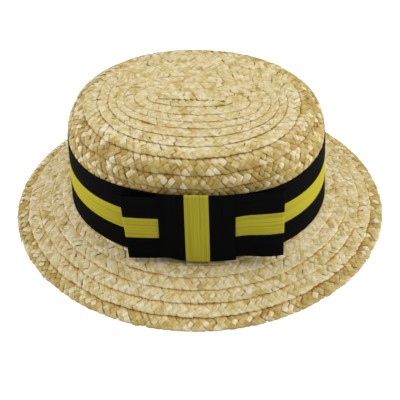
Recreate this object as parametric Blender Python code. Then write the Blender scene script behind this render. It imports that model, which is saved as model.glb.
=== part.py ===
"""Straw boater hat with a striped ribbon and a flat bow.

The straw is a plaited braid, sewn row over row so that each row lies on the next one
out or down. The crown and the brim are shells of that braid, the ribbon goes round the
foot of the crown, and the bow is the same ribbon: a flat loop under a wide wrap.

Metres, +Z up. The hat stands on the lower edge of its brim at Z = 0, X runs along the
long axis of the head oval, and the bow is on the -Y side, a little towards +X.
"""

import math

import bmesh
import bpy
from mathutils import Vector

# Crown: the oval where it meets the brim, and how it rises
CROWN_LENGTH = 0.2070
CROWN_BREADTH = 0.1730
CROWN_SQUARENESS = 2.12
CROWN_HEIGHT = 0.0875
CROWN_TAPER = math.radians(2.1)
SHOULDER_RADIUS = 0.0245
TIP_SEAM_LENGTH = 0.0525

# Brim: its level widths at the ends and at the sides of the head, and its fall
BRIM_END_WIDTH = 0.0495
BRIM_SIDE_WIDTH = 0.0555
BRIM_SQUARENESS = 2.0
BRIM_DROP = 0.0225
BRIM_EDGE_THICKNESS = 0.0020
BRIM_REST_WIDTH = 0.0020

# Braid: the wall, the step from one row to the next, and the width of a row that shows
STRAW_THICKNESS = 0.0022
ROW_RELIEF = 0.0009
ROW_STEP = 0.0006
TIP_ROW = 0.00985
SIDE_ROW = 0.0116
BRIM_ROW = 0.0106

# Ribbon, woven in three stripes, and the gap that touching pieces keep
RIBBON_WIDTH = 0.0590
RIBBON_THICKNESS = 0.0010
SEAT_GAP = 0.0003

# Bow: the place of its middle, the reach of each loop, how many times flatter it lies
# than the wall behind it, how much higher than the band, and the wrap over it
BOW_ASIDE = 0.0090
BOW_LEFT_REACH = 0.0550
BOW_RIGHT_REACH = 0.0660
BOW_FLATNESS = 2.02
BOW_RAISE = 0.0020
LOOP_FULLNESS = 0.0032
WRAP_HEIGHT = 0.0660

# Facets: points round an oval, stretches along a rounded shoulder, loop or wrap, the
# distance under which points are one, and the angle over which an edge is sharp
OVAL_POINTS = 80
SHOULDER_STEPS = 4
FOLD_STEPS = 6
LOOP_STEPS = 5
WRAP_STEPS = 8
MERGE_DISTANCE = 1e-6
SHARP_EDGE = math.radians(30)

STRAW_COLOUR = (0.62, 0.45, 0.20, 1.0)
RIBBON_COLOUR = (0.008, 0.008, 0.009, 1.0)
STRAW_ROUGHNESS = 0.55
RIBBON_ROUGHNESS = 0.75

FOOT_HEIGHT = BRIM_EDGE_THICKNESS + BRIM_DROP


def clear_scene():
    for old in list(bpy.data.objects):
        bpy.data.objects.remove(old, do_unlink=True)


def make_material(name, colour, roughness):
    material = bpy.data.materials.new(name)
    material.use_nodes = True
    shader = material.node_tree.nodes["Principled BSDF"]
    shader.inputs["Base Color"].default_value = colour
    shader.inputs["Roughness"].default_value = roughness
    shader.inputs["Metallic"].default_value = 0.0
    return material


def oval_point(half_length, half_breadth, squareness, angle):
    """A point of the head oval, seen from above: an ellipse, slightly squared."""
    across = math.copysign(abs(math.cos(angle)) ** (2 / squareness), math.cos(angle))
    along = math.copysign(abs(math.sin(angle)) ** (2 / squareness), math.sin(angle))
    return half_length * across, half_breadth * along


def oval_ring(half_length, half_breadth, squareness, height):
    ring = []
    for step in range(OVAL_POINTS):
        x, y = oval_point(half_length, half_breadth, squareness, math.tau * step / OVAL_POINTS)
        ring.append((x, y, height))
    return ring


def bridge(bm, ring, following):
    """Joins two rings of as many points with a band of quads."""
    count = len(ring)
    for step in range(count):
        after = (step + 1) % count
        bm.faces.new((ring[step], ring[after], following[after], following[step]))


def skin_rings(rings, looped):
    """A mesh through closed rings. Looped, the last ring joins the first: a hoop."""
    bm = bmesh.new()
    made = [[bm.verts.new(point) for point in ring] for ring in rings]
    for ring, following in zip(made, made[1:]):
        bridge(bm, ring, following)
    if looped:
        bridge(bm, made[-1], made[0])
    return bm, made


def close_on_seam(bm, ring, half_seam, height):
    """Closes an oval onto the short straight seam along X that its rows start from."""
    half = len(ring) // 2
    seam = []
    for step in range(half + 1):
        seam.append(bm.verts.new((half_seam * math.cos(math.pi * step / half), 0.0, height)))
    for step in range(half):
        bm.faces.new((ring[step], ring[step + 1], seam[step + 1], seam[step]))
        mirrored = (len(ring) - step) % len(ring)
        bm.faces.new((ring[mirrored - 1], ring[mirrored], seam[step], seam[step + 1]))


def add_piece(name, bm, material, parent, location=(0.0, 0.0, 0.0)):
    bmesh.ops.recalc_face_normals(bm, faces=bm.faces)
    mesh = bpy.data.meshes.new(name)
    bm.to_mesh(mesh)
    bm.free()
    mesh.materials.append(material)
    mesh.shade_smooth()
    mesh.set_sharp_from_angle(angle=SHARP_EDGE)
    piece = bpy.data.objects.new(name, mesh)
    bpy.context.scene.collection.objects.link(piece)
    piece.parent = parent
    piece.location = location
    return piece


def add_frame(name, parent, location, rotation):
    frame = bpy.data.objects.new(name, None)
    bpy.context.scene.collection.objects.link(frame)
    frame.parent = parent
    frame.location = location
    frame.rotation_euler = rotation
    return frame


def braid_rows(starts_and_ends):
    """(distance, sunk) pairs: each row starts sunk under the row before and ends proud."""
    stations = []
    for start, end in starts_and_ends:
        stations.append((start + ROW_STEP, True))
        stations.append((end, False))
    return stations


def wall_half_sizes(height):
    """Outer half length and half breadth of the crown's wall, above the crown's foot."""
    lean = height * math.tan(CROWN_TAPER)
    return CROWN_LENGTH / 2 - lean, CROWN_BREADTH / 2 - lean


def shoulder_centre():
    """Half sizes and height of the oval that the rounded shoulder is struck from."""
    height = CROWN_HEIGHT - SHOULDER_RADIUS
    tangent = height + SHOULDER_RADIUS * math.sin(CROWN_TAPER)
    half_length, half_breadth = wall_half_sizes(tangent)
    inset = SHOULDER_RADIUS * math.cos(CROWN_TAPER)
    return half_length - inset, half_breadth - inset, height


def crown_section(distance, sink):
    """(half length, half breadth, height) at a distance from the tip's seam, measured
    over the tip, round the shoulder and down the wall, sunk by so much into the straw."""
    half_length, half_breadth, height = shoulder_centre()
    arc = SHOULDER_RADIUS * (math.pi / 2 - CROWN_TAPER)
    if distance < half_breadth:
        share = distance / half_breadth
        along = TIP_SEAM_LENGTH / 2 + (half_length - TIP_SEAM_LENGTH / 2) * share
        return along, distance, CROWN_HEIGHT - sink
    if distance < half_breadth + arc:
        turn = (distance - half_breadth) / SHOULDER_RADIUS
        reach = SHOULDER_RADIUS - sink
        out = reach * math.sin(turn)
        return half_length + out, half_breadth + out, height + reach * math.cos(turn)
    down = distance - half_breadth - arc
    out = (SHOULDER_RADIUS - sink) * math.cos(CROWN_TAPER) + down * math.sin(CROWN_TAPER)
    rise = (SHOULDER_RADIUS - sink) * math.sin(CROWN_TAPER) - down * math.cos(CROWN_TAPER)
    return half_length + out, half_breadth + out, height + rise


def crown_ring(distance, sink):
    half_length, half_breadth, height = crown_section(distance, sink)
    return oval_ring(half_length, half_breadth, CROWN_SQUARENESS, height)


def crown_row_spans():
    """Start and end of each row that shows, from the tip's seam to under the ribbon."""
    half_length, half_breadth, centre_height = shoulder_centre()
    arc = SHOULDER_RADIUS * (math.pi / 2 - CROWN_TAPER)
    wall_top = centre_height + SHOULDER_RADIUS * math.sin(CROWN_TAPER)
    to_ribbon = half_breadth + arc + (wall_top - RIBBON_WIDTH) / math.cos(CROWN_TAPER)
    spans = [(0.0, TIP_ROW)]
    while spans[-1][1] < half_breadth:
        spans.append((spans[-1][1], spans[-1][1] + TIP_ROW))
    while spans[-1][1] < to_ribbon:
        spans.append((spans[-1][1], spans[-1][1] + SIDE_ROW))
    return spans


def foot_ring(height, sink):
    """A ring of the crown's wall at a height over its foot, sunk into the straw."""
    half_length, half_breadth = wall_half_sizes(height)
    inset = sink / math.cos(CROWN_TAPER)
    return oval_ring(half_length - inset, half_breadth - inset, CROWN_SQUARENESS, height)


def make_crown(straw, hat):
    """Tip, shoulder and wall, one shell of braid rows, open below for the head."""
    outer = []
    for distance, sunk in braid_rows(crown_row_spans()):
        outer.append(crown_ring(distance, ROW_RELIEF * sunk))
    outer.append(foot_ring(0.0, 0.0))
    half_length, half_breadth, height = shoulder_centre()
    arc = SHOULDER_RADIUS * (math.pi / 2 - CROWN_TAPER)
    inner = [foot_ring(0.0, STRAW_THICKNESS)]
    for step in range(SHOULDER_STEPS, -1, -1):
        distance = half_breadth + arc * step / SHOULDER_STEPS
        inner.append(crown_ring(distance, STRAW_THICKNESS))
    bm, rings = skin_rings(outer + inner, looped=False)
    close_on_seam(bm, rings[0], TIP_SEAM_LENGTH / 2, CROWN_HEIGHT - ROW_RELIEF)
    close_on_seam(bm, rings[-1], TIP_SEAM_LENGTH / 2, CROWN_HEIGHT - STRAW_THICKNESS)
    return add_piece("straw_crown", bm, straw, hat, (0.0, 0.0, FOOT_HEIGHT))


def brim_slope(angle):
    """The ends of the brim's upper face at an angle: at the crown's wall, and its edge."""
    half_length, half_breadth = CROWN_LENGTH / 2, CROWN_BREADTH / 2
    wall = oval_point(half_length, half_breadth, CROWN_SQUARENESS, angle)
    half_length, half_breadth = half_length + BRIM_END_WIDTH, half_breadth + BRIM_SIDE_WIDTH
    edge = oval_point(half_length, half_breadth, BRIM_SQUARENESS, angle)
    return Vector((*wall, FOOT_HEIGHT - SEAT_GAP)), Vector((*edge, BRIM_EDGE_THICKNESS))


def slope_length(angle):
    wall, edge = brim_slope(angle)
    return (edge - wall).length


def brim_ring(from_edge, below):
    """A ring of the brim, the same distance in from its edge all round, or on the crown's
    wall where that is nearer, and so far below the upper face."""
    ring = []
    for step in range(OVAL_POINTS):
        angle = math.tau * step / OVAL_POINTS
        wall, edge = brim_slope(angle)
        point = edge.lerp(wall, min(from_edge / slope_length(angle), 1.0))
        ring.append((point.x, point.y, point.z - below))
    return ring


def brim_margin_ring(below):
    """The brim's inner edge, under the crown's wall and as thick."""
    inset = STRAW_THICKNESS / math.cos(CROWN_TAPER)
    half_length = CROWN_LENGTH / 2 - inset
    half_breadth = CROWN_BREADTH / 2 - inset
    return oval_ring(half_length, half_breadth, CROWN_SQUARENESS, FOOT_HEIGHT - SEAT_GAP - below)


def make_brim(straw, hat):
    """The brim falls outward all round and rests on the flat under its outer edge. Its
    rows keep their width, so the innermost one runs out under the crown at the ends."""
    longest, shortest = slope_length(math.pi / 2), slope_length(0.0)
    steepness = longest / BRIM_SIDE_WIDTH
    rows = int((shortest - 2 * ROW_STEP) / BRIM_ROW)
    upper = [brim_margin_ring(0.0), brim_ring(longest, 0.0)]
    for row in range(rows, -1, -1):
        upper.append(brim_ring(BRIM_ROW * row, 0.0))
        if row:
            upper.append(brim_ring(BRIM_ROW * row - ROW_STEP, ROW_RELIEF * steepness))
    wall_below = STRAW_THICKNESS * steepness
    rest = [(x, y, 0.0) for x, y, _ in brim_ring(BRIM_REST_WIDTH, 0.0)]
    lower = [
        brim_ring(0.0, BRIM_EDGE_THICKNESS),
        rest,
        brim_ring(2 * BRIM_REST_WIDTH, wall_below),
        brim_ring(longest / 2, wall_below),
        brim_ring(longest, wall_below),
        brim_margin_ring(wall_below),
    ]
    bm, _ = skin_rings(upper + lower, looped=True)
    return add_piece("straw_brim", bm, straw, hat)


def ribbon_ring(height, clear):
    half_length, half_breadth = wall_half_sizes(height)
    return oval_ring(half_length + clear, half_breadth + clear, CROWN_SQUARENESS, height)


def make_hat_band(ribbon, hat):
    """The ribbon drawn round the foot of the crown, its lower edge just over the brim."""
    face = SEAT_GAP + RIBBON_THICKNESS
    rings = [
        ribbon_ring(SEAT_GAP, SEAT_GAP),
        ribbon_ring(SEAT_GAP, face),
        ribbon_ring(SEAT_GAP + RIBBON_WIDTH, face),
        ribbon_ring(SEAT_GAP + RIBBON_WIDTH, SEAT_GAP),
    ]
    bm, _ = skin_rings(rings, looped=True)
    return add_piece("hat_band", bm, ribbon, hat, (0.0, 0.0, FOOT_HEIGHT))


def bow_seat(hat):
    """The frame of the bow, on the crown's foot: X along the wall, -Y away from it and
    Z up the wall's lean."""
    half_length, half_breadth = CROWN_LENGTH / 2, CROWN_BREADTH / 2
    share = BOW_ASIDE / half_length
    bulge = 1 - share**CROWN_SQUARENESS
    depth = half_breadth * bulge ** (1 / CROWN_SQUARENESS)
    fall = half_breadth / half_length * share ** (CROWN_SQUARENESS - 1)
    turn = math.atan(fall * bulge ** (1 / CROWN_SQUARENESS - 1))
    place = (BOW_ASIDE, -depth, FOOT_HEIGHT)
    return add_frame("bow_seat", hat, place, (-CROWN_TAPER, 0.0, turn))


def bow_bend(along, out):
    """A point of the bow's plan: so far along it and so far out from the crown's wall."""
    wall_bend = (CROWN_LENGTH / 2) ** 2 / (CROWN_BREADTH / 2)
    bend = BOW_FLATNESS * wall_bend
    turn = along / bend
    return (bend + out) * math.sin(turn), bend - (bend + out) * math.cos(turn)


def layer_out(layer):
    """How far the middle of a ribbon layer lies out from the wall: the hat band is layer
    0, then come the wrap's back, the loops' front and the wrap's front."""
    return SEAT_GAP + RIBBON_THICKNESS / 2 + layer * (RIBBON_THICKNESS + SEAT_GAP)


def loop_half_path(reach):
    """Plan of one loop: from the bow's middle along its front, round the fold at its end
    and back along its rear layer to the side of the wrap. Lengths for a loop on +X."""
    front = layer_out(2)
    wrap_side = RIBBON_WIDTH / 2 + SEAT_GAP
    fold_radius = (RIBBON_THICKNESS + LOOP_FULLNESS) / 2
    fold_centre = reach - fold_radius - RIBBON_THICKNESS / 2
    path = [(fold_centre * step / LOOP_STEPS, front) for step in range(1, LOOP_STEPS + 1)]
    for step in range(1, FOLD_STEPS + 1):
        turn = math.pi * step / FOLD_STEPS
        along = fold_centre + fold_radius * math.sin(turn)
        path.append((along, front - fold_radius * (1 - math.cos(turn))))
    rear_out = Vector(path[-1])
    rear_in = Vector((wrap_side, front - RIBBON_THICKNESS - SEAT_GAP))
    for step in range(1, LOOP_STEPS):
        path.append(tuple(rear_out.lerp(rear_in, step / (LOOP_STEPS - 1))))
    return path


def ribbon_strip(path, lower, upper):
    """A ribbon on edge along a plan path, as a closed solid of its own thickness."""
    sections = []
    for index, point in enumerate(path):
        before = Vector(path[max(index - 1, 0)])
        after = Vector(path[min(index + 1, len(path) - 1)])
        heading = (after - before).normalized()
        aside = Vector((-heading.y, heading.x)) * RIBBON_THICKNESS / 2
        left, right = Vector(point) + aside, Vector(point) - aside
        sections.append([(*left, lower), (*right, lower), (*right, upper), (*left, upper)])
    bm, rings = skin_rings(sections, looped=False)
    bm.faces.new(rings[0])
    bm.faces.new(rings[-1])
    return bm


def make_bow_loops(ribbon, seat):
    """One flat length of ribbon: its front crosses under the wrap, and each end is folded
    behind it."""
    right = loop_half_path(BOW_RIGHT_REACH)
    left = [(-along, out) for along, out in loop_half_path(BOW_LEFT_REACH)]
    path = left[::-1] + [(0.0, layer_out(2))] + right
    plan = [bow_bend(along, out) for along, out in path]
    lower = SEAT_GAP + BOW_RAISE
    bm = ribbon_strip(plan, lower, lower + RIBBON_WIDTH)
    return add_piece("bow_loops", bm, ribbon, seat)


def wrap_profile():
    """(out, up) pairs round the wrap's closed loop of ribbon, outside then inside."""
    front = layer_out(3) + RIBBON_THICKNESS / 2
    back = layer_out(1) - RIBBON_THICKNESS / 2
    lower, upper = SEAT_GAP, SEAT_GAP + WRAP_HEIGHT
    wall = RIBBON_THICKNESS
    bevel = wall / 2
    outside = [
        (front, lower + bevel),
        (front, upper - bevel),
        (front - bevel, upper),
        (back + bevel, upper),
        (back, upper - bevel),
        (back, lower + bevel),
        (back + bevel, lower),
        (front - bevel, lower),
    ]
    inside = []
    for out, up in outside:
        out = min(max(out, back + wall), front - wall)
        up = min(max(up, lower + wall), upper - wall)
        inside.append((out, up))
    return outside, inside


def make_bow_knot(ribbon, seat):
    """The wrap: ribbon turned upright and taken once round the loops, full width."""
    outside, inside = wrap_profile()
    half = len(outside)
    bm = bmesh.new()
    sections = []
    for step in range(WRAP_STEPS + 1):
        along = RIBBON_WIDTH * (step / WRAP_STEPS - 0.5)
        section = []
        for out, up in outside + inside:
            section.append(bm.verts.new((*bow_bend(along, out), up)))
        sections.append(section)
    for section, following in zip(sections, sections[1:]):
        bridge(bm, section[:half], following[:half])
        bridge(bm, section[half:], following[half:])
    for section in (sections[0], sections[-1]):
        bridge(bm, section[:half], section[half:])
    bmesh.ops.remove_doubles(bm, verts=bm.verts, dist=MERGE_DISTANCE)
    return add_piece("bow_knot", bm, ribbon, seat)


def main():
    clear_scene()
    straw = make_material("plaited_straw", STRAW_COLOUR, STRAW_ROUGHNESS)
    ribbon = make_material("striped_ribbon", RIBBON_COLOUR, RIBBON_ROUGHNESS)
    hat = add_frame("hat", None, (0.0, 0.0, 0.0), (0.0, 0.0, 0.0))
    make_crown(straw, hat)
    make_brim(straw, hat)
    make_hat_band(ribbon, hat)
    seat = bow_seat(hat)
    make_bow_loops(ribbon, seat)
    make_bow_knot(ribbon, seat)
    bpy.context.view_layer.update()


main()
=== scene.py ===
"""Looks of a straw boater hat: rows of plaited straw, a striped ribbon and its flat bow."""
import math

import bpy
import numpy as np
from mathutils import Euler, Matrix, Vector


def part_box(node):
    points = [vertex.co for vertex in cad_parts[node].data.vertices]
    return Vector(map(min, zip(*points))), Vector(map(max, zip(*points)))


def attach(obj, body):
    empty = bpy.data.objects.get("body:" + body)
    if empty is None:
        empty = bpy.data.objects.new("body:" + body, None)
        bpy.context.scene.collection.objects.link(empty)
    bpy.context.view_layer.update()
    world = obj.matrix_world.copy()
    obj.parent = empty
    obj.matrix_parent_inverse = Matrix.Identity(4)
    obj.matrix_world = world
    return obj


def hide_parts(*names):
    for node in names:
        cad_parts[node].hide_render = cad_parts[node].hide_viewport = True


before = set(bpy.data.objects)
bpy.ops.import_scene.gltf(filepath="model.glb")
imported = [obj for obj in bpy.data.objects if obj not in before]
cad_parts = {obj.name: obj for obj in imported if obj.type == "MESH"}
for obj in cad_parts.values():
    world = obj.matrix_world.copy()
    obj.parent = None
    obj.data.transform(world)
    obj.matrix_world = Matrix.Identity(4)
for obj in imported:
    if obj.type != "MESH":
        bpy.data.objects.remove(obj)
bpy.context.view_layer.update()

# Straw crown. One long flat plait of split wheat straw, sewn in a spiral that starts on a
# short seam in the middle of the tip. The outer edge of each turn lies on the next turn, and
# the block has pressed the tip smooth, so the full herringbone shows only on the side.
MM = 0.001
crown_low, crown_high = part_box("straw_crown")
CROWN_FOOT = crown_low.z
CROWN_HALF_LENGTH = (crown_high.x - crown_low.x) / 2
CROWN_HALF_BREADTH = (crown_high.y - crown_low.y) / 2
CROWN_SQUARENESS = 2.12
CROWN_TAPER = math.radians(2.1)
SHOULDER_RADIUS = 24.5 * MM
SEAM_HALF_LENGTH = 26.25 * MM
SEAM_SET_BACK = 1.3 * MM
ROW_BULGE = 5.0 * MM
SHOULDER_HEIGHT = crown_high.z - crown_low.z - SHOULDER_RADIUS
SHOULDER_ARC = SHOULDER_RADIUS * (math.pi / 2 - CROWN_TAPER)
WALL_HEIGHT = SHOULDER_HEIGHT + SHOULDER_RADIUS * math.sin(CROWN_TAPER)
shoulder_inset = WALL_HEIGHT * math.tan(CROWN_TAPER) + SHOULDER_RADIUS * math.cos(CROWN_TAPER)
SHOULDER_HALF_LENGTH = CROWN_HALF_LENGTH - shoulder_inset
SHOULDER_HALF_BREADTH = CROWN_HALF_BREADTH - shoulder_inset

# Outer edge of each turn of the spiral, measured from the seam down the front; the first
# three are the cut start of the plait, where it widens over the last quarter of a turn
TURNS = np.array([0.74, 0.80, 0.88, 1, 2, 3, 4, 5, 6, 7, 8, 9, 10, 11, 12, 13, 14, 15])
TURN_ENDS = MM * np.array([
    0.5, 4.4, 7.6, 9.0, 18.8, 27.3, 35.2, 45.0, 56.2,
    68.4, 81.8, 92.4, 103.6, 116.2, 127.2, 138.0, 149.0, 160.0,
])

# The three kinds of strand that a plait shows, from its inner to its outer edge: where each
# starts and ends across the plait in mm, how far it leans along it, and how its ends are cut
PLAIT_WIDTH = 14.2 * MM
STRAND_REPEAT = 5.7 * MM
STRANDS = (
    {"inner": 0.5, "outer": 6.6, "lean": 0.75, "cut": -3.5, "fold": False, "phase": 0.41, "pale": 0.16},
    {"inner": 6.2, "outer": 10.2, "lean": -0.85, "cut": 3.5, "fold": False, "phase": 0.00, "pale": 0.21},
    {"inner": 9.8, "outer": 14.2, "lean": 0.75, "cut": -3.5, "fold": True, "phase": 0.48, "pale": 0.05},
)

# The grid of points of one strand, and how far each dips or swells: from end to end, from
# side to side, and where the last kind folds over the edge
SHARES_BY_END = np.array([0.0, 0.12, 0.3, 0.5, 0.7, 0.88, 1.0])[None, :, None]
SHARES_BY_SIDE = np.array([0.0, 0.12, 0.5, 0.88, 1.0])[None, None, :]
END_DIP = MM * np.array([-0.32, -0.06, 0.02, 0.04, 0.02, -0.06, -0.32])[None, :, None]
SIDE_DIP = MM * np.array([-0.32, -0.07, 0.10, 0.10, -0.06])[None, None, :]
FOLD_DIP = MM * np.array([-0.36, -0.05, 0.06, 0.12, 0.10, -0.02, -0.28])[None, :, None]
FOLD_DROP = MM * np.array([0.0, 0.0, 0.0, 0.0, -0.02, -0.15, -0.60])[None, :, None]
FOLD_ROUNDING = 0.55 * MM
DEEPEST_DIP = 0.85 * MM
# A strand is painted in full shade where it dips this deep
FULL_SHADE_DIP = 0.45 * MM

# How one strand differs from the next, in place, lean, width, hollows, height, tilt and tone
ACROSS_SPREAD, ALONG_SPREAD = 0.22 * MM, 0.28 * MM
LEAN_SPREAD = 0.10
FILL_MEAN, FILL_SPREAD = 1.03, 0.07
HOLLOW_SPREAD = 0.15
HEIGHT_SPREAD, TILT_SPREAD = 0.06 * MM, 0.14 * MM
TONE_MEAN, TONE_SPREAD, TONE_MOST, PALE_TONE = 0.42, 0.13, 0.8, 0.92
GRAIN_SHIFT_BY_TONE, GRAIN_SHIFT_BY_PLACE = 40, 7

# Waves by which a hand-guided row strays from its line, and how far it strays
WAVES = (19 * MM, 37 * MM, 61 * MM, 113 * MM)
WAVER = 0.35 * MM

# A sewn row rises to its outer edge, which stands a little proud of the hat's face, and
# swells between its edges; nothing lies deeper than the floor, just over a thin plain shell
PLAIT_RISE = 1.4 * MM
PLAIT_PROUD = 0.25 * MM
PLAIT_SWELL = 0.35 * MM
COVERED_SHARE = 0.25
PLAIT_FLOOR = 1.15 * MM
SHELL_DEPTH = 1.2 * MM
SHELL_THICKNESS = 0.1 * MM
SHELL_TUCK = 2 * MM
# The shell's tone, and the painted shade it shows in the gaps between strands
SHELL_TONE, SHELL_PAINTED_LIGHT = 0.35, 0.5
LINING_DEPTH = 1.3 * MM
LINING_RELIEF = 0.65

# Painted shadow line under the edge of each row, fainter where the straw is pressed or pale;
# worn straw comes to one tone, and crisp straw is a little darker
SHADOW_LINE_WIDTH = 1.3 * MM
SHADOW_LINE_FADE = 0.6
FAINT_PRESSED, FAINT_PALE, FAINTEST = 0.2, 0.4, 0.9
WORN_TONE = 0.62
CRISP_DARKENING = 0.2


def oval(half_length, half_breadth, squareness, angle):
    """Points of the head oval, an ellipse that is slightly squared."""
    cosine, sine = np.cos(angle), np.sin(angle)
    x = half_length * np.sign(cosine) * np.abs(cosine) ** (2 / squareness)
    y = half_breadth * np.sign(sine) * np.abs(sine) ** (2 / squareness)
    return x, y


def on_crown(angle, distance, lift):
    """Points of the crown so far from the seam, over the tip, round the shoulder and down
    the wall, lifted off its outer face."""
    distance = np.maximum(distance, 0)
    share = np.minimum(distance / SHOULDER_HALF_BREADTH, 1)
    turn = np.clip((distance - SHOULDER_HALF_BREADTH) / SHOULDER_RADIUS, 0, math.pi / 2 - CROWN_TAPER)
    down = np.maximum(distance - SHOULDER_HALF_BREADTH - SHOULDER_ARC, 0)
    out = (SHOULDER_RADIUS + lift) * np.sin(turn) + down * math.sin(CROWN_TAPER)
    rise = (SHOULDER_RADIUS + lift) * np.cos(turn) - down * math.cos(CROWN_TAPER)
    half_length = SEAM_HALF_LENGTH + (SHOULDER_HALF_LENGTH - SEAM_HALF_LENGTH) * share + out
    half_length = half_length + ROW_BULGE * np.sin(math.pi * share) ** 2
    x, y = oval(half_length, SHOULDER_HALF_BREADTH * share + out, CROWN_SQUARENESS, angle)
    y = y + SEAM_SET_BACK * (1 - share)
    return np.stack([x, y, CROWN_FOOT + SHOULDER_HEIGHT + rise + 0 * x], axis=-1)


def run_along(line):
    """How far along a line of points each of them is."""
    return np.concatenate([[0], np.cumsum(np.linalg.norm(np.diff(line, axis=0), axis=1))])


def waver(along, random):
    """How far a hand-guided row strays from its line: a few slow waves."""
    stray = np.zeros_like(along)
    for wave in WAVES:
        stray += np.sin(along * math.tau / wave + random.uniform(0, math.tau))
    return stray * WAVER / 2


def plait(length, random):
    """All strands of a plait of this length, by kind: the places of their grid points along
    and across it, their relief, their painted shade where they dip into the work, their tone and their
    grain."""
    count = round(length / STRAND_REPEAT)
    step = length / count

    def spread(mean, by):
        return random.normal(mean, by, count)[:, None, None]

    kinds = []
    for kind in STRANDS:
        start = (np.arange(count)[:, None, None] + kind["phase"]) * step
        reach = (kind["outer"] - kind["inner"]) * MM
        middle = (kind["outer"] + kind["inner"]) / 2 * MM
        cut = kind["cut"] * MM * (SHARES_BY_SIDE - 0.5)
        if kind["fold"]:
            cut = cut * (1 - SHARES_BY_END)
            cut = cut - FOLD_ROUNDING * (2 * SHARES_BY_SIDE - 1) ** 2 * SHARES_BY_END**3
        across = middle + reach * (SHARES_BY_END - 0.5) + cut + spread(0, ACROSS_SPREAD)
        along = start + spread(kind["lean"], LEAN_SPREAD) * (across - middle)
        along = along + (SHARES_BY_SIDE - 0.5) * step * spread(FILL_MEAN, FILL_SPREAD)
        along = along + spread(0, ALONG_SPREAD)
        dip = (FOLD_DIP if kind["fold"] else END_DIP) + SIDE_DIP * spread(1.0, HOLLOW_SPREAD)
        relief = np.maximum(dip, -DEEPEST_DIP) + spread(0, HEIGHT_SPREAD)
        relief = relief + spread(0, TILT_SPREAD) * (SHARES_BY_SIDE - 0.5)
        # Painted shade: darker where the strand dips, in the grooves between strands and at its ends
        depth = np.clip(1 + np.minimum(relief, 0) / FULL_SHADE_DIP, 0, 1)
        if kind["fold"]:
            relief = relief + FOLD_DROP
        tone = np.clip(random.normal(TONE_MEAN, TONE_SPREAD, count), 0, TONE_MOST)
        tone = np.where(random.uniform(0, 1, count) < kind["pale"], PALE_TONE, tone)
        tone = tone[:, None, None] + 0 * along
        own_grain = GRAIN_SHIFT_BY_TONE * tone + GRAIN_SHIFT_BY_PLACE * start
        grain = np.broadcast_arrays(SHARES_BY_END * reach, SHARES_BY_SIDE * step, own_grain)
        kinds.append({
            "along": along, "across": across, "relief": relief,
            "depth": depth, "tone": tone, "grain": np.stack(grain, axis=-1),
        })
    return {key: np.concatenate([kind[key] for kind in kinds]) for key in kinds[0]}


def row_lift(across, crispness):
    """Height of a sewn row over the face of the straw: it rises towards its outer edge, which
    lies on the next row, and swells a little between its two edges, less where it is pressed."""
    share = across / PLAIT_WIDTH
    shown = np.clip((share - COVERED_SHARE) / (1 - COVERED_SHARE), 0, 1)
    rise = PLAIT_RISE * (1 + crispness) / 2
    return PLAIT_PROUD + rise * (share - 1) + PLAIT_SWELL * crispness * np.sin(math.pi * shown)


def strand_lift(laid, crispness, inside):
    """Height of laid strands over the outer face, or behind it for the inside."""
    lift = np.maximum(row_lift(laid["across"], crispness) + laid["relief"] * crispness, -PLAIT_FLOOR)
    return -LINING_DEPTH - LINING_RELIEF * (lift + PLAIT_FLOOR) if inside else lift


def settle(laid, crispness, past_edge):
    """Painted shade and tone of strands that are pressed and worn by crispness, with a painted
    shadow where they come out from under the edge of the row before, so far past it."""
    # Painted shadow, darkest right at the edge of the row before and fading out past it
    shade = np.clip(past_edge / SHADOW_LINE_WIDTH, 0, 1) ** SHADOW_LINE_FADE
    faintness = np.clip(FAINT_PRESSED * (1 - crispness) + FAINT_PALE * laid["tone"], 0, FAINTEST)
    depth = (1 - (1 - laid["depth"]) * crispness) * (faintness + (1 - faintness) * shade)
    tone = WORN_TONE + (laid["tone"] - WORN_TONE) * crispness - CRISP_DARKENING * crispness**3
    return {"depth": depth, "tone": tone, "grain": laid["grain"]}


def new_piece(name, points, quads, layers):
    """A smooth mesh object whose points carry the named values or vectors of the layers."""
    mesh = bpy.data.meshes.new(name)
    mesh.from_pydata(points.tolist(), [], quads.tolist())
    mesh.polygons.foreach_set("use_smooth", np.ones(len(quads), bool))
    for title, values in layers.items():
        kind, field = ("FLOAT", "value") if values.ndim == 1 else ("FLOAT_VECTOR", "vector")
        layer = mesh.attributes.new(title, kind, "POINT")
        layer.data.foreach_set(field, values.astype(np.float32).ravel())
    mesh.update()
    piece = bpy.data.objects.new(name, mesh)
    bpy.context.scene.collection.objects.link(piece)
    return piece


def straw_mesh(name, parts):
    """One piece of strand grids and plain shells, each part a grid of points with their tone,
    painted shade and grain, closed round where it says so."""
    points, quads, tones, depths, grains = [], [], [], [], []
    placed = 0
    for part in parts:
        grid = part["points"].shape[:3]
        index = placed + np.arange(math.prod(grid)).reshape(grid)
        following = np.roll(index, -1, axis=2) if part["closed"] else index[:, :, 1:]
        leading = index if part["closed"] else index[:, :, :-1]
        corners = [leading[:, :-1], following[:, :-1], following[:, 1:], leading[:, 1:]]
        if part["flipped"]:
            corners = corners[::-1]
        quads.append(np.stack(corners, axis=-1).reshape(-1, 4))
        points.append(part["points"].reshape(-1, 3))
        tones.append(np.broadcast_to(part["tone"], grid).ravel())
        depths.append(np.broadcast_to(part["depth"], grid).ravel())
        grains.append(np.broadcast_to(part["grain"], part["points"].shape).reshape(-1, 3))
        placed += math.prod(grid)
    layers = {
        "straw_tone": np.concatenate(tones),
        "straw_depth": np.concatenate(depths),
        "straw_grain": np.concatenate(grains),
    }
    return new_piece(name, np.concatenate(points), np.concatenate(quads), layers)


def strand_part(looks, points, keep, flipped):
    """The kept strands of a laid plait, as a part of a straw mesh."""
    part = {"points": points[keep], "closed": False, "flipped": flipped}
    for key in ("tone", "depth", "grain"):
        part[key] = looks[key][keep]
    return part


def thinned(part):
    """A strand part with every second point from end to end left out, for a hidden side."""
    for key in ("points", "tone", "depth", "grain"):
        part[key] = part[key][:, ::2]
    return part


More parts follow.
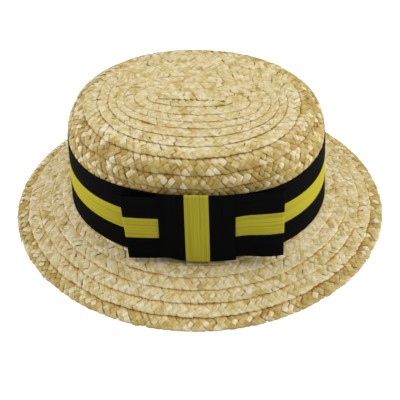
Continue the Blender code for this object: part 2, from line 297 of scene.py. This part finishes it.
def shell_part(points):
    """The plain straw under and between the strands, painted half in shade."""
    return {
        "points": points[None], "closed": True, "flipped": False,
        "tone": SHELL_TONE, "depth": SHELL_PAINTED_LIGHT, "grain": 0.0,
    }


def linear(colour):
    """An sRGB hex colour as linear red, green and blue with an alpha of one."""
    channels = [int(colour[place:place + 2], 16) / 255 for place in (1, 3, 5)]
    return [c / 12.92 if c <= 0.04045 else ((c + 0.055) / 1.055) ** 2.4 for c in channels] + [1.0]


def add_node(material, kind, settings=None, values=None, links=None):
    """Adds a shader node with its settings, the values of its sockets and the links to them."""
    node = material.node_tree.nodes.new("ShaderNode" + kind)
    for name, value in (settings or {}).items():
        setattr(node, name, value)
    for socket, value in (values or {}).items():
        node.inputs[socket].default_value = value
    for socket, source in (links or {}).items():
        material.node_tree.links.new(source, node.inputs[socket])
    return node


def colour_ramp(material, source, stops):
    """A ramp node through hex colours at the places given."""
    node = add_node(material, "ValToRGB", links={"Fac": source})
    ramp = node.color_ramp
    while len(ramp.elements) > 1:
        ramp.elements.remove(ramp.elements[-1])
    for index, (place, colour) in enumerate(stops):
        stop = ramp.elements[0] if index == 0 else ramp.elements.new(place)
        stop.position = place
        stop.color = linear(colour)
    return node


def new_material(name):
    """A material whose nodes are still to be added."""
    material = bpy.data.materials.new(name)
    material.use_nodes = True
    material.node_tree.nodes.clear()
    return material


def finish_material(material, shader):
    """Makes the shader the surface of its material."""
    add_node(material, "OutputMaterial", links={"Surface": shader.outputs[0]})


# Wheat straw, split, bleached and plaited damp: satin, golden to nearly white from stem to
# stem, streaked along its fibres, and painted darker amber as shade down in the work
STEM_PATCH_SIZE = 9 * MM
BLEACH_AND_HIGHLIGHT_SIZE = 4.5 * MM
FIBRE_LENGTHS_PER_MM, FIBRES_PER_MM = 0.12, 1.1
straw = new_material("plaited_wheat_straw")
tone = add_node(straw, "Attribute", {"attribute_name": "straw_tone"})
# Painted light of each point: one where the straw lies open, less where shade is painted in
depth = add_node(straw, "Attribute", {"attribute_name": "straw_depth"})
grain = add_node(straw, "Attribute", {"attribute_name": "straw_grain"})
place = add_node(straw, "TexCoord")
# Each strand has its own tone, which shifts over patches of one or two strands
patches = add_node(
    straw, "TexNoise", {"noise_dimensions": "3D"},
    {"Scale": 1 / STEM_PATCH_SIZE, "Detail": 2.0, "Roughness": 0.55},
    {"Vector": place.outputs["Object"]},
)
patch_shift = add_node(
    straw, "Math", {"operation": "MULTIPLY_ADD"}, {1: 0.9, 2: -0.45}, {0: patches.outputs["Fac"]},
)
shifted_tone = add_node(
    straw, "Math", {"operation": "ADD", "use_clamp": True}, None,
    {0: tone.outputs["Fac"], 1: patch_shift.outputs[0]},
)
stem_colour = colour_ramp(straw, shifted_tone.outputs[0], (
    (0.00, "#A28742"), (0.28, "#B39F5B"), (0.52, "#CBBA89"), (0.80, "#D2C7A2"), (1.00, "#DAD3BF"),
))
# Whitish spots, partly bleached straw and partly painted highlights, more where it is pale already
spots = add_node(
    straw, "TexNoise", {"noise_dimensions": "3D"},
    {"Scale": 1 / BLEACH_AND_HIGHLIGHT_SIZE, "Detail": 1.5, "Roughness": 0.5},
    {"Vector": place.outputs["Object"]},
)
spot_reach = add_node(
    straw, "Math", {"operation": "MULTIPLY_ADD"}, {1: 0.4},
    {0: tone.outputs["Fac"], 2: spots.outputs["Fac"]},
)
spot_share = add_node(
    straw, "MapRange", None, {1: 0.70, 2: 0.92, 3: 0.0, 4: 0.7}, {0: spot_reach.outputs[0]},
)
bleach_and_highlight = add_node(
    straw, "Mix", {"data_type": "RGBA"}, {7: linear("#DAD3BE")},
    {0: spot_share.outputs[0], 6: stem_colour.outputs[0]},
)
# Fibres run from end to end of a strand, drawn coarser than real so that they show
fibre_place = add_node(
    straw, "Mapping", None, {"Scale": (FIBRE_LENGTHS_PER_MM / MM, FIBRES_PER_MM / MM, 1.0)},
    {"Vector": grain.outputs["Vector"]},
)
fibres = add_node(
    straw, "TexNoise", {"noise_dimensions": "3D"}, {"Scale": 1.0, "Detail": 2.0},
    {"Vector": fibre_place.outputs[0]},
)
fibre_shade = colour_ramp(straw, fibres.outputs["Fac"], (
    (0.25, "#BDB192"), (0.50, "#F0EEE6"), (0.75, "#FFFFFF"),
))
streaked = add_node(
    straw, "Mix", {"data_type": "RGBA", "blend_type": "MULTIPLY"}, {0: 0.75},
    {6: bleach_and_highlight.outputs[2], 7: fibre_shade.outputs[0]},
)
# Painted shade: darker amber in the grooves and under the edges of the rows
painted_shade_colour = colour_ramp(straw, depth.outputs["Fac"], (
    (0.00, "#906830"), (0.30, "#D2AE68"), (0.70, "#FAEFD4"), (1.00, "#FFFFFF"),
))
with_painted_shade = add_node(
    straw, "Mix", {"data_type": "RGBA", "blend_type": "MULTIPLY"}, {0: 1.0},
    {6: streaked.outputs[2], 7: painted_shade_colour.outputs[0]},
)
ridges = add_node(
    straw, "Bump", None, {"Strength": 0.35, "Distance": 0.1 * MM}, {"Height": fibres.outputs["Fac"]},
)
straw_shader = add_node(
    straw, "BsdfPrincipled", None, {"Roughness": 0.55, "IOR": 1.5, "Specular IOR Level": 0.35},
    {"Base Color": with_painted_shade.outputs[2], "Normal": ridges.outputs[0]},
)
finish_material(straw, straw_shader)


def turn_end(turn):
    """Distance of the spiral's outer edge from the seam after so many turns."""
    return np.interp(turn, TURNS, TURN_ENDS, left=0.0)


def turn_angle(turn):
    """The spiral runs clockwise, seen from above, from the middle of the front."""
    return -math.pi / 2 - math.tau * turn


# Length of the plait, measured along a line well inside its outer edge
MEASURED_INSET, MEASURED_LEAST = 5 * MM, 2 * MM
turns = np.linspace(TURNS[0], TURNS[-1], 12000)
measured = np.maximum(turn_end(turns) - MEASURED_INSET, MEASURED_LEAST)
run = run_along(on_crown(turn_angle(turns), measured, 0.0))

# Distances from the seam at which the ribbon starts and the crown ends, and those between
# which the pressed tip turns into the crisp side
ribbon_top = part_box("hat_band")[1].z
WALL_START = SHOULDER_HALF_BREADTH + SHOULDER_ARC
RIBBON_TOP_DISTANCE = WALL_START + CROWN_FOOT + WALL_HEIGHT - ribbon_top
CROWN_FOOT_DISTANCE = WALL_START + WALL_HEIGHT / math.cos(CROWN_TAPER)
PRESSED = 0.35
CRISP_START, CRISP_RUN = 60 * MM, 15 * MM
RIBBON_MARGIN, UNDER_RIBBON_LIFT = 0.5 * MM, 0.2 * MM
HIDDEN_EDGE = 0.6 * MM
START_REACH, START_MIDDLE = 1.2 * MM, 0.4 * MM


def lay_crown(laid, inside):
    """Points of every strand on the crown, their distances from the seam, which strands show,
    and their looks."""
    # The strands lean against the spiral, so the plait is laid from its far end
    along = run[-1] - laid["along"]
    turn = np.interp(along, run, turns)
    end = turn_end(turn) + waver(along, np.random.default_rng(3))
    past_edge = laid["across"] - (PLAIT_WIDTH - (turn_end(turn) - turn_end(turn - 1)))
    if inside:
        distance = np.minimum(end - laid["across"], CROWN_FOOT_DISTANCE)
    else:
        distance = end - PLAIT_WIDTH + laid["across"]
    crispness = PRESSED + (1 - PRESSED) * np.clip((distance - CRISP_START) / CRISP_RUN, 0, 1)
    lift = strand_lift(laid, crispness, inside)
    if not inside:
        under_ribbon = distance > RIBBON_TOP_DISTANCE - RIBBON_MARGIN
        lift = np.where(under_ribbon, np.minimum(lift, UNDER_RIBBON_LIFT), lift)
    points = on_crown(turn_angle(turn), distance, lift)
    showing = past_edge.max(axis=(1, 2)) > -HIDDEN_EDGE
    started = distance.max(axis=(1, 2)) > START_REACH
    started &= distance.mean(axis=(1, 2)) > START_MIDDLE
    return points, distance, showing & started, settle(laid, crispness, past_edge)


shell_angles = np.linspace(0, math.tau, 200, endpoint=False)


def crown_shell(lift):
    """Rings of the plain shell, 5 mm apart over the tip and 3 mm apart round the shoulder."""
    stations = np.concatenate([np.linspace(0, 60, 13), np.linspace(62, 98, 13)]) * MM
    stations = np.append(stations, CROWN_FOOT_DISTANCE)
    return on_crown(shell_angles[None, :], stations[:, None], lift)


TUCKED_UNDER_RIBBON = 3 * MM
laid = plait(run[-1], np.random.default_rng(11))
outside, distance, keep, looks = lay_crown(laid, inside=False)
keep &= distance.min(axis=(1, 2)) < RIBBON_TOP_DISTANCE + TUCKED_UNDER_RIBBON
outer_shell, inner_shell = crown_shell(-SHELL_DEPTH), crown_shell(-SHELL_DEPTH - SHELL_THICKNESS)
crown_straw = straw_mesh("crown_plait", [
    strand_part(looks, outside, keep, False),
    shell_part(np.concatenate([inner_shell[::-1], outer_shell])),
])
crown_straw.data.materials.append(straw)
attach(crown_straw, "root")
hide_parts("straw_crown")

LEAST_AT_FOOT = 1 * MM
laid = plait(run[-1], np.random.default_rng(12))
inside, distance, keep, looks = lay_crown(laid, inside=True)
keep &= distance.min(axis=(1, 2)) < CROWN_FOOT_DISTANCE - LEAST_AT_FOOT
crown_lining = straw_mesh("crown_plait_inside", [thinned(strand_part(looks, inside, keep, True))])
crown_lining.data.materials.append(straw)
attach(crown_lining, "root")

# Straw brim. The same plait goes on round the crown in flatter rows, each edge on the next
# row out, pressed to a slope that falls to the rim. The last row shows its whole width, and
# its strands turn over the rim in small tabs.
brim_low, brim_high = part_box("straw_brim")
BRIM_HALF_LENGTH = (brim_high.x - brim_low.x) / 2
BRIM_HALF_BREADTH = (brim_high.y - brim_low.y) / 2
BRIM_SQUARENESS = 2.0
BRIM_EDGE_THICKNESS = 2.0 * MM
BRIM_ROW_LINES = MM * np.array([0.1, 11.2, 22.3, 33.2, 43.6, 54.0])
RIM_LINE = BRIM_ROW_LINES[0]
RIM_CRISPNESS, BRIM_CRISPNESS = 0.9, 0.5
RIM_WAVER_SHARE = 0.25
RIM_FRONT_INSET, RIM_CORNER_INSET = 0.3 * MM, 0.6 * MM
RIM_OVERHANG, WALL_OVERLAP = 0.5 * MM, 0.3 * MM
UNDERSIDE_INSET = 2.2 * MM
BRIM_COVERED = 3.6 * MM
BRIM_MEAN_RADIUS = 130 * MM
BRIM_RUN_LINE, UNDERSIDE_RUN_LINE = 5 * MM, 9 * MM


def on_brim(angle, inward, lift):
    """Points of the brim's upper face so far in from its edge up the slope, and lifted off
    it; the second result is how far in the crown's wall is."""
    wall = np.stack(oval(CROWN_HALF_LENGTH, CROWN_HALF_BREADTH, CROWN_SQUARENESS, angle), axis=-1)
    edge = np.stack(oval(BRIM_HALF_LENGTH, BRIM_HALF_BREADTH, BRIM_SQUARENESS, angle), axis=-1)
    level = np.linalg.norm(wall - edge, axis=-1)
    rise = brim_high.z - BRIM_EDGE_THICKNESS
    slope = np.hypot(level, rise)
    heading = (wall - edge) / level[..., None]
    level_in = (inward * level - lift * rise) / slope
    flat = edge + heading * level_in[..., None]
    height = BRIM_EDGE_THICKNESS + (inward * rise + lift * level) / slope
    return np.concatenate([flat, np.maximum(height, 0)[..., None]], axis=-1), slope


def lay_brim_row(line, under, random):
    """One closed row of the brim, seen from above or below, as a part of its mesh."""
    at_rim = line == RIM_LINE
    angles = np.linspace(0, math.tau, 2401)
    run_line = line + (UNDERSIDE_RUN_LINE if under else BRIM_RUN_LINE)
    ring, _ = on_brim(angles, np.full_like(angles, run_line), np.zeros_like(angles))
    ring_run = run_along(ring)
    laid = plait(ring_run[-1], random)
    along = laid["along"] + random.uniform(0, STRAND_REPEAT)
    angle = np.interp(along % ring_run[-1], ring_run, angles)
    stray = waver(angle * BRIM_MEAN_RADIUS, random) * (RIM_WAVER_SHARE if at_rim else 1)
    in_front = np.maximum(-np.sin(angle), 0)
    stray = stray + RIM_FRONT_INSET * in_front + RIM_CORNER_INSET * (2 * in_front * np.cos(angle)) ** 2
    if under:
        inward = line + UNDERSIDE_INSET + laid["across"] + stray
    else:
        inward = line + PLAIT_WIDTH - laid["across"] + stray
    crispness = RIM_CRISPNESS if at_rim else BRIM_CRISPNESS
    points, slope = on_brim(angle, inward, strand_lift(laid, crispness, under))
    keep = (inward - slope).min(axis=(1, 2)) < WALL_OVERLAP
    keep &= inward.max(axis=(1, 2)) > -RIM_OVERHANG
    looks = settle(laid, crispness, laid["across"] - BRIM_COVERED)
    return strand_part(looks, points, keep, not under)


def brim_shell(lift):
    """Rings of the plain shell from near the rim up to and under the crown's wall."""
    rings = []
    for inward in np.concatenate([[2.4, 3.5], np.linspace(6, 54, 12)]) * MM:
        ring, _ = on_brim(shell_angles, np.full_like(shell_angles, inward), np.full_like(shell_angles, lift))
        rings.append(ring)
    inner_length, inner_breadth = CROWN_HALF_LENGTH - SHELL_TUCK, CROWN_HALF_BREADTH - SHELL_TUCK
    wall_x, wall_y = oval(inner_length, inner_breadth, CROWN_SQUARENESS, shell_angles)
    rings.append(np.stack([wall_x, wall_y, np.full_like(wall_x, brim_high.z + lift)], axis=-1))
    return np.array(rings)


random = np.random.default_rng(21)
brim_parts = [lay_brim_row(line, False, random) for line in BRIM_ROW_LINES]
top_shell, under_shell = brim_shell(-SHELL_DEPTH), brim_shell(-SHELL_DEPTH - SHELL_THICKNESS)
brim_parts.append(shell_part(np.concatenate([top_shell, under_shell[::-1], top_shell[:1]])))
brim_straw = straw_mesh("brim_plait", brim_parts)
brim_straw.data.materials.append(straw)
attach(brim_straw, "root")
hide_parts("straw_brim")

random = np.random.default_rng(22)
under_parts = [thinned(lay_brim_row(line, True, random)) for line in BRIM_ROW_LINES]
brim_under = straw_mesh("brim_plait_underside", under_parts)
brim_under.data.materials.append(straw)
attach(brim_under, "root")

# Ribbon round the crown. A flat woven ribbon, 59 mm wide in three stripes, drawn tight round
# the foot of the crown. The bow pushes its upper edge up a little on its side.
RIBBON_WIDTH = 59.0 * MM
STRIPE_EDGES = (20.3 * MM, 38.9 * MM)
STRIPE_BLUR = 0.1 * MM
RIBBON_THICKNESS = 0.5 * MM
RIBBON_CREASE = math.radians(50)
SEAT_GAP = 0.3 * MM
BAND_RAISE = 0.8 * MM
BAND_BY_BOW = 3.6 * MM
BOW_ANGLE = math.radians(-90.5)
BOW_SPREAD = math.radians(35)
band_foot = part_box("hat_band")[0].z
widths = np.linspace(0, RIBBON_WIDTH, 13)


def ribbon_mesh(name, face, back, closed_round):
    """A ribbon as a closed solid between two grids of points, stations along it by stations
    across it. Each point keeps its place along and across the ribbon."""
    stations, count, _ = face.shape
    points = np.concatenate([face, back[:, ::-1]], axis=1)
    along = run_along(face[:, count // 2])
    across = np.concatenate([widths, widths[::-1]])
    index = np.arange(stations * 2 * count).reshape(stations, 2 * count)
    first, second = (index, np.roll(index, -1, axis=0)) if closed_round else (index[:-1], index[1:])
    corners = [first, second, np.roll(second, -1, axis=1), np.roll(first, -1, axis=1)]
    quads = [np.stack(corners, axis=-1).reshape(-1, 4)]
    if not closed_round:
        near, near_back = index[0, :count], index[0, count:][::-1]
        far, far_back = index[-1, :count], index[-1, count:][::-1]
        quads.append(np.stack([near[:-1], near[1:], near_back[1:], near_back[:-1]], axis=-1))
        quads.append(np.stack([far[1:], far[:-1], far_back[:-1], far_back[1:]], axis=-1))
    places = np.stack(np.broadcast_arrays(along[:, None], across[None, :], 0.0), axis=-1)
    layers = {"ribbon_place": places.reshape(-1, 3)}
    piece = new_piece(name, points.reshape(-1, 3), np.concatenate(quads), layers)
    piece.data.set_sharp_from_angle(angle=RIBBON_CREASE)
    return piece


# Ribbon of dyed viscose, woven: dull and dense black, a yellow stripe with the slight green of
# its black weft, and faint cords along its length
CORD_PITCH, PICK_PITCH = 1.05 * MM, 1.6 * MM
THREAD_LENGTHS_PER_MM, THREADS_PER_MM = 0.01, 0.9
# A wave texture of scale one repeats at this distance
WAVE_AT_UNIT_SCALE = math.tau / 20
ribbon = new_material("woven_viscose_ribbon")
ribbon_place = add_node(ribbon, "Attribute", {"attribute_name": "ribbon_place"})
parts = add_node(ribbon, "SeparateXYZ", None, None, {0: ribbon_place.outputs["Vector"]})
stripe_from = add_node(
    ribbon, "MapRange", None, {1: STRIPE_EDGES[0] - STRIPE_BLUR, 2: STRIPE_EDGES[0] + STRIPE_BLUR},
    {0: parts.outputs["Y"]},
)
stripe_to = add_node(
    ribbon, "MapRange", None,
    {1: STRIPE_EDGES[1] - STRIPE_BLUR, 2: STRIPE_EDGES[1] + STRIPE_BLUR, 3: 1.0, 4: 0.0},
    {0: parts.outputs["Y"]},
)
stripe = add_node(
    ribbon, "Math", {"operation": "MULTIPLY"}, None, {0: stripe_from.outputs[0], 1: stripe_to.outputs[0]},
)
# Cords along the ribbon and picks across it, drawn several times as coarse as real
cords = add_node(
    ribbon, "TexWave", {"wave_type": "BANDS", "bands_direction": "Y"},
    {"Scale": WAVE_AT_UNIT_SCALE / CORD_PITCH, "Distortion": 0.4, "Detail": 1.0},
    {"Vector": ribbon_place.outputs["Vector"]},
)
picks = add_node(
    ribbon, "TexWave", {"wave_type": "BANDS", "bands_direction": "X"},
    {"Scale": WAVE_AT_UNIT_SCALE / PICK_PITCH, "Distortion": 0.3, "Detail": 1.0},
    {"Vector": ribbon_place.outputs["Vector"]},
)
weave = add_node(
    ribbon, "Math", {"operation": "MULTIPLY"}, None, {0: cords.outputs["Fac"], 1: picks.outputs["Fac"]},
)
crossings = add_node(
    ribbon, "Mix", {"data_type": "FLOAT"}, {0: 0.2}, {2: cords.outputs["Fac"], 3: picks.outputs["Fac"]},
)
# Some warp threads lie deeper than the rest, as faint lines 2 to 3 mm apart along the ribbon
thread_place = add_node(
    ribbon, "Mapping", None, {"Scale": (THREAD_LENGTHS_PER_MM / MM, THREADS_PER_MM / MM, 1.0)},
    {"Vector": ribbon_place.outputs["Vector"]},
)
threads = add_node(
    ribbon, "TexNoise", {"noise_dimensions": "2D"}, {"Scale": 1.0, "Detail": 1.0},
    {"Vector": thread_place.outputs[0]},
)
thread_lines = add_node(ribbon, "MapRange", None, {1: 0.3, 2: 0.6}, {0: threads.outputs["Fac"]})
woven = add_node(
    ribbon, "Mix", {"data_type": "FLOAT"}, {0: 0.45}, {2: crossings.outputs[0], 3: thread_lines.outputs[0]},
)
yellow = colour_ramp(ribbon, woven.outputs[0], ((0.0, "#8A801F"), (0.5, "#A79D2C"), (1.0, "#B5AB35")))
black = colour_ramp(ribbon, woven.outputs[0], ((0.0, "#040405"), (0.5, "#080808"), (1.0, "#0C0C0D")))
stripes = add_node(
    ribbon, "Mix", {"data_type": "RGBA"}, None,
    {0: stripe.outputs[0], 6: black.outputs[0], 7: yellow.outputs[0]},
)
ribs = add_node(ribbon, "Bump", None, {"Strength": 0.3, "Distance": 0.08 * MM}, {"Height": weave.outputs[0]})
ribbon_shader = add_node(
    ribbon, "BsdfPrincipled", None, {"Roughness": 0.85, "Specular IOR Level": 0.03},
    {"Base Color": stripes.outputs[2], "Normal": ribs.outputs[0]},
)
finish_material(ribbon, ribbon_shader)

# The angles start and end at the back of the hat
band_angles = np.linspace(0, math.tau, 360, endpoint=False) - 1.5 * math.pi


def band_grid(clear):
    """The band's face or back, so far clear of the crown's wall."""
    rings = []
    by_bow = np.exp(-((band_angles - BOW_ANGLE) / BOW_SPREAD) ** 4)
    for width in widths:
        out = clear - (width + SEAT_GAP) * math.tan(CROWN_TAPER)
        x, y = oval(CROWN_HALF_LENGTH + out, CROWN_HALF_BREADTH + out, CROWN_SQUARENESS, band_angles)
        level = band_foot + BAND_RAISE + width + BAND_BY_BOW * by_bow * (width / RIBBON_WIDTH) ** 2
        rings.append(np.stack([x, y, level], axis=-1))
    return np.array(rings).transpose(1, 0, 2)


band = ribbon_mesh("ribbon_band", band_grid(SEAT_GAP + RIBBON_THICKNESS), band_grid(SEAT_GAP), True)
band.data.materials.append(ribbon)
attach(band, "root")
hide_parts("hat_band")

# Bow loops. One length of the same ribbon laid flat on the band, both ends folded back behind
# it and caught in the middle under the knot, so that a soft fold stands open at each end.
BOW_ASIDE = 9.0 * MM
BOW_FLATNESS = 2.02
BOW_CLEAR = 0.9 * MM
BOW_LEAN_IN = 0.33
LEFT_REACH, RIGHT_REACH = 55.0 * MM, 66.0 * MM
LEFT_RAISE, RIGHT_RAISE = 2.3 * MM, 7.0 * MM
LEFT_DROOP, RIGHT_DROOP = math.radians(5), math.radians(2)
LEFT_FLARE, RIGHT_FLARE = 2.4 * MM, 5.2 * MM
FLARE_LENGTH = 25 * MM
RIGHT_TUCK, TUCK_LENGTH = 2.1 * MM, 12.0 * MM
LOOP_FRONT, LOOP_BACK = 3.3 * MM, 1.5 * MM
LOOP_FOLD = 1.1 * MM
LOOP_HOLD = 2 * MM
LOOP_CURVE = 1.5
KNOT_HALF_WIDTH = 28.7 * MM

# The bow is seated on the wall where it leans back and turns away, and bends less than the wall
aside_share = BOW_ASIDE / CROWN_HALF_LENGTH
bulge = 1 - aside_share**CROWN_SQUARENESS
seat_depth = CROWN_HALF_BREADTH * bulge ** (1 / CROWN_SQUARENESS)
seat_slope = aside_share ** (CROWN_SQUARENESS - 1) * bulge ** (1 / CROWN_SQUARENESS - 1)
seat_turn = math.atan(CROWN_HALF_BREADTH / CROWN_HALF_LENGTH * seat_slope)
seat_place = Matrix.Translation((BOW_ASIDE, -seat_depth, CROWN_FOOT))
bow_seat = np.array(seat_place @ Euler((-CROWN_TAPER, 0, seat_turn)).to_matrix().to_4x4())
bow_bend = BOW_FLATNESS * CROWN_HALF_LENGTH**2 / CROWN_HALF_BREADTH


def on_bow(along, out, up):
    """Points of the bow so far along it, out from the wall and up from the crown's foot."""
    along, out, up = np.broadcast_arrays(along, out, up)
    out = BOW_CLEAR + (out - BOW_CLEAR) * (1 - BOW_LEAN_IN * (up / RIBBON_WIDTH) ** 2)
    turn = along / bow_bend
    x = (bow_bend + out) * np.sin(turn)
    y = bow_bend - (bow_bend + out) * np.cos(turn)
    return np.stack([x, y, up], axis=-1) @ bow_seat[:3, :3].T + bow_seat[:3, 3]


def loop_path(reach):
    """Plan of one loop from under the knot out along its front, round and back behind it."""
    centre = reach - LOOP_FOLD
    path = [(along, LOOP_FRONT) for along in np.linspace(LOOP_HOLD, centre, 14)]
    for turn in np.linspace(0, math.pi, 12)[1:]:
        path.append((centre + LOOP_FOLD * math.sin(turn), LOOP_FRONT - LOOP_FOLD * (1 - math.cos(turn))))
    folded_out = path[-1][1]
    for share in np.linspace(0, 1, 8)[1:]:
        back_along = centre * (1 - share) + (KNOT_HALF_WIDTH - LOOP_HOLD) * share
        path.append((back_along, folded_out * (1 - share) + LOOP_BACK * share))
    return path


right = loop_path(RIGHT_REACH)
left = [(-along, out) for along, out in loop_path(LEFT_REACH)]
path = np.array(left[::-1] + right)
heading = np.gradient(path, axis=0)
heading /= np.linalg.norm(heading, axis=1)[:, None]
aside = np.stack([-heading[:, 1], heading[:, 0]], axis=1) * RIBBON_THICKNESS / 2


def loop_grid(offset):
    """The loops droop a little from the knot, and their lower edges stand off the band."""
    along, out = (path + offset)[:, :1], (path + offset)[:, 1:]
    on_left = along < 0
    past_knot = np.maximum(np.abs(along) - KNOT_HALF_WIDTH, 0)
    near_knot = np.minimum(np.abs(along) / KNOT_HALF_WIDTH, 1)
    droop = np.where(on_left, LEFT_DROOP, RIGHT_DROOP)
    middle_raise = (LEFT_RAISE + RIGHT_RAISE) / 2
    raised = middle_raise + (np.where(on_left, LEFT_RAISE, RIGHT_RAISE) - middle_raise) * near_knot
    moved = along + np.sign(along) * near_knot * droop * (widths[None, :] - RIBBON_WIDTH / 2)
    tuck = np.where(on_left, 0, RIGHT_TUCK) * np.clip(1 - past_knot / TUCK_LENGTH, 0, 1) ** LOOP_CURVE
    up = SEAT_GAP + raised + widths[None, :] - droop * past_knot - tuck
    lower = 1 - widths[None, :] / RIBBON_WIDTH
    flare = np.where(on_left, LEFT_FLARE, RIGHT_FLARE) * lower**LOOP_CURVE
    return on_bow(moved, out + flare * np.clip(past_knot / FLARE_LENGTH, 0, 1), up)


loops = ribbon_mesh("ribbon_bow_loops", loop_grid(aside), loop_grid(-aside), False)
loops.data.materials.append(ribbon)
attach(loops, "root")
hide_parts("bow_loops")

# Bow knot. The ribbon again, upright and left at its full width, taken once round the loops
# and sewn behind them, so that its yellow stripe stands across the other two.
KNOT_HEIGHT = 64.5 * MM
KNOT_RAISE = 0.8 * MM
KNOT_ASIDE = 0.8 * MM
KNOT_LEFT_RISE, KNOT_RIGHT_RISE = 5.0 * MM, 1.1 * MM
KNOT_FRONT = 4.6 * MM
KNOT_ROUND = 1.3 * MM
KNOT_CORNER_CURVE = 2.5


def knot_profile():
    """(out, up) round the knot's loop: up the front, over the top, down the back and under."""
    top, bottom = SEAT_GAP + KNOT_HEIGHT - KNOT_ROUND, SEAT_GAP + KNOT_ROUND
    middle = KNOT_FRONT - KNOT_ROUND
    profile = [(KNOT_FRONT, up) for up in np.linspace(bottom, top, 15)]
    for turn in np.linspace(0, math.pi, 9)[1:-1]:
        profile.append((middle + KNOT_ROUND * math.cos(turn), top + KNOT_ROUND * math.sin(turn)))
    profile += [(middle - KNOT_ROUND, up) for up in np.linspace(top, bottom, 15)]
    for turn in np.linspace(math.pi, math.tau, 9)[1:-1]:
        profile.append((middle + KNOT_ROUND * math.cos(turn), bottom + KNOT_ROUND * math.sin(turn)))
    return np.array(profile)


profile = knot_profile()
heading = np.roll(profile, -1, axis=0) - np.roll(profile, 1, axis=0)
heading /= np.linalg.norm(heading, axis=1)[:, None]
outward = np.stack([heading[:, 1], -heading[:, 0]], axis=1) * RIBBON_THICKNESS / 2
knot_along = np.linspace(-KNOT_HALF_WIDTH, KNOT_HALF_WIDTH, len(widths))
corner_rise = np.where(knot_along < 0, KNOT_LEFT_RISE, KNOT_RIGHT_RISE)
corner_rise = corner_rise * np.abs(knot_along / KNOT_HALF_WIDTH) ** KNOT_CORNER_CURVE


def knot_grid(offset):
    """The knot's outer or inner face; its lower corners are drawn up a little."""
    out, up = (profile + offset)[:, :1], (profile + offset)[:, 1:]
    rise = KNOT_RAISE + corner_rise[None, :] * np.maximum(1 - up / KNOT_HEIGHT, 0) ** 2
    return on_bow(knot_along[None, :] + KNOT_ASIDE, out, up + rise)


knot = ribbon_mesh("ribbon_bow_knot", knot_grid(outward), knot_grid(-outward), True)
knot.data.materials.append(ribbon)
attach(knot, "root")
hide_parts("bow_knot")

# Floor, light and camera. A matt floor that glows white like a lit studio table, a weak white
# sky, one soft lamp overhead and one at each side, and the camera where the fit of the hat's
# outline puts it.
floor_paint = new_material("pale_matt_floor")
floor_shader = add_node(floor_paint, "BsdfPrincipled", None, {
    "Base Color": linear("#808080"), "Roughness": 0.9,
    "Emission Color": linear("#FFFFFF"), "Emission Strength": 0.95,
})
finish_material(floor_paint, floor_shader)
FLOOR_HALF_SIZE = 12.0
FLOOR_LEVEL = -0.2 * MM
floor_corners = [
    (x * FLOOR_HALF_SIZE, y * FLOOR_HALF_SIZE, FLOOR_LEVEL) for x, y in ((-1, -1), (1, -1), (1, 1), (-1, 1))
]
floor_mesh = bpy.data.meshes.new("floor")
floor_mesh.from_pydata(floor_corners, [], [(0, 1, 2, 3)])
floor = bpy.data.objects.new("floor", floor_mesh)
bpy.context.scene.collection.objects.link(floor)
floor_mesh.materials.append(floor_paint)

world = bpy.context.scene.world or bpy.data.worlds.new("sky")
bpy.context.scene.world = world
world.use_nodes = True
world.node_tree.nodes["Background"].inputs["Color"].default_value = linear("#FFFFFF")
world.node_tree.nodes["Background"].inputs["Strength"].default_value = 0.25


def add_lamp(name, place, size, power):
    """A square soft box that faces the hat."""
    lamp = bpy.data.lights.new(name, "AREA")
    lamp.shape = "SQUARE"
    lamp.size = size
    lamp.energy = power
    holder = bpy.data.objects.new(name, lamp)
    bpy.context.scene.collection.objects.link(holder)
    holder.location = place
    holder.rotation_euler = (-Vector(place)).to_track_quat("-Z", "Y").to_euler()


add_lamp("soft_box_above", (0.0, 0.0, 1.9), 1.8, 8.5)
add_lamp("soft_box_right", (1.5, 0.1, 1.0), 1.0, 31.5)
add_lamp("soft_box_left", (-1.5, 0.1, 1.0), 1.0, 27)

CAMERA_AZIMUTH = math.radians(7.9)
CAMERA_ELEVATION = math.radians(42.4)
CAMERA_ROLL = math.radians(-2.25)
CAMERA_DISTANCE = 1.0
CAMERA_TARGET = Vector((0, 0, 2 * MM))
lens = bpy.data.cameras.new("camera")
lens.lens = 107.1
lens.sensor_width = 36
lens.shift_x = 0.0024
lens.shift_y = 0.0120
camera = bpy.data.objects.new("camera", lens)
bpy.context.scene.collection.objects.link(camera)
away = Vector((
    math.sin(CAMERA_AZIMUTH) * math.cos(CAMERA_ELEVATION),
    -math.cos(CAMERA_AZIMUTH) * math.cos(CAMERA_ELEVATION),
    math.sin(CAMERA_ELEVATION),
))
camera.location = CAMERA_TARGET + away * CAMERA_DISTANCE
facing = (-away).to_track_quat("-Z", "Y").to_matrix() @ Matrix.Rotation(CAMERA_ROLL, 3, "Z")
camera.rotation_euler = facing.to_euler()
bpy.context.scene.camera = camera
bpy.context.scene.view_settings.view_transform = "Standard"
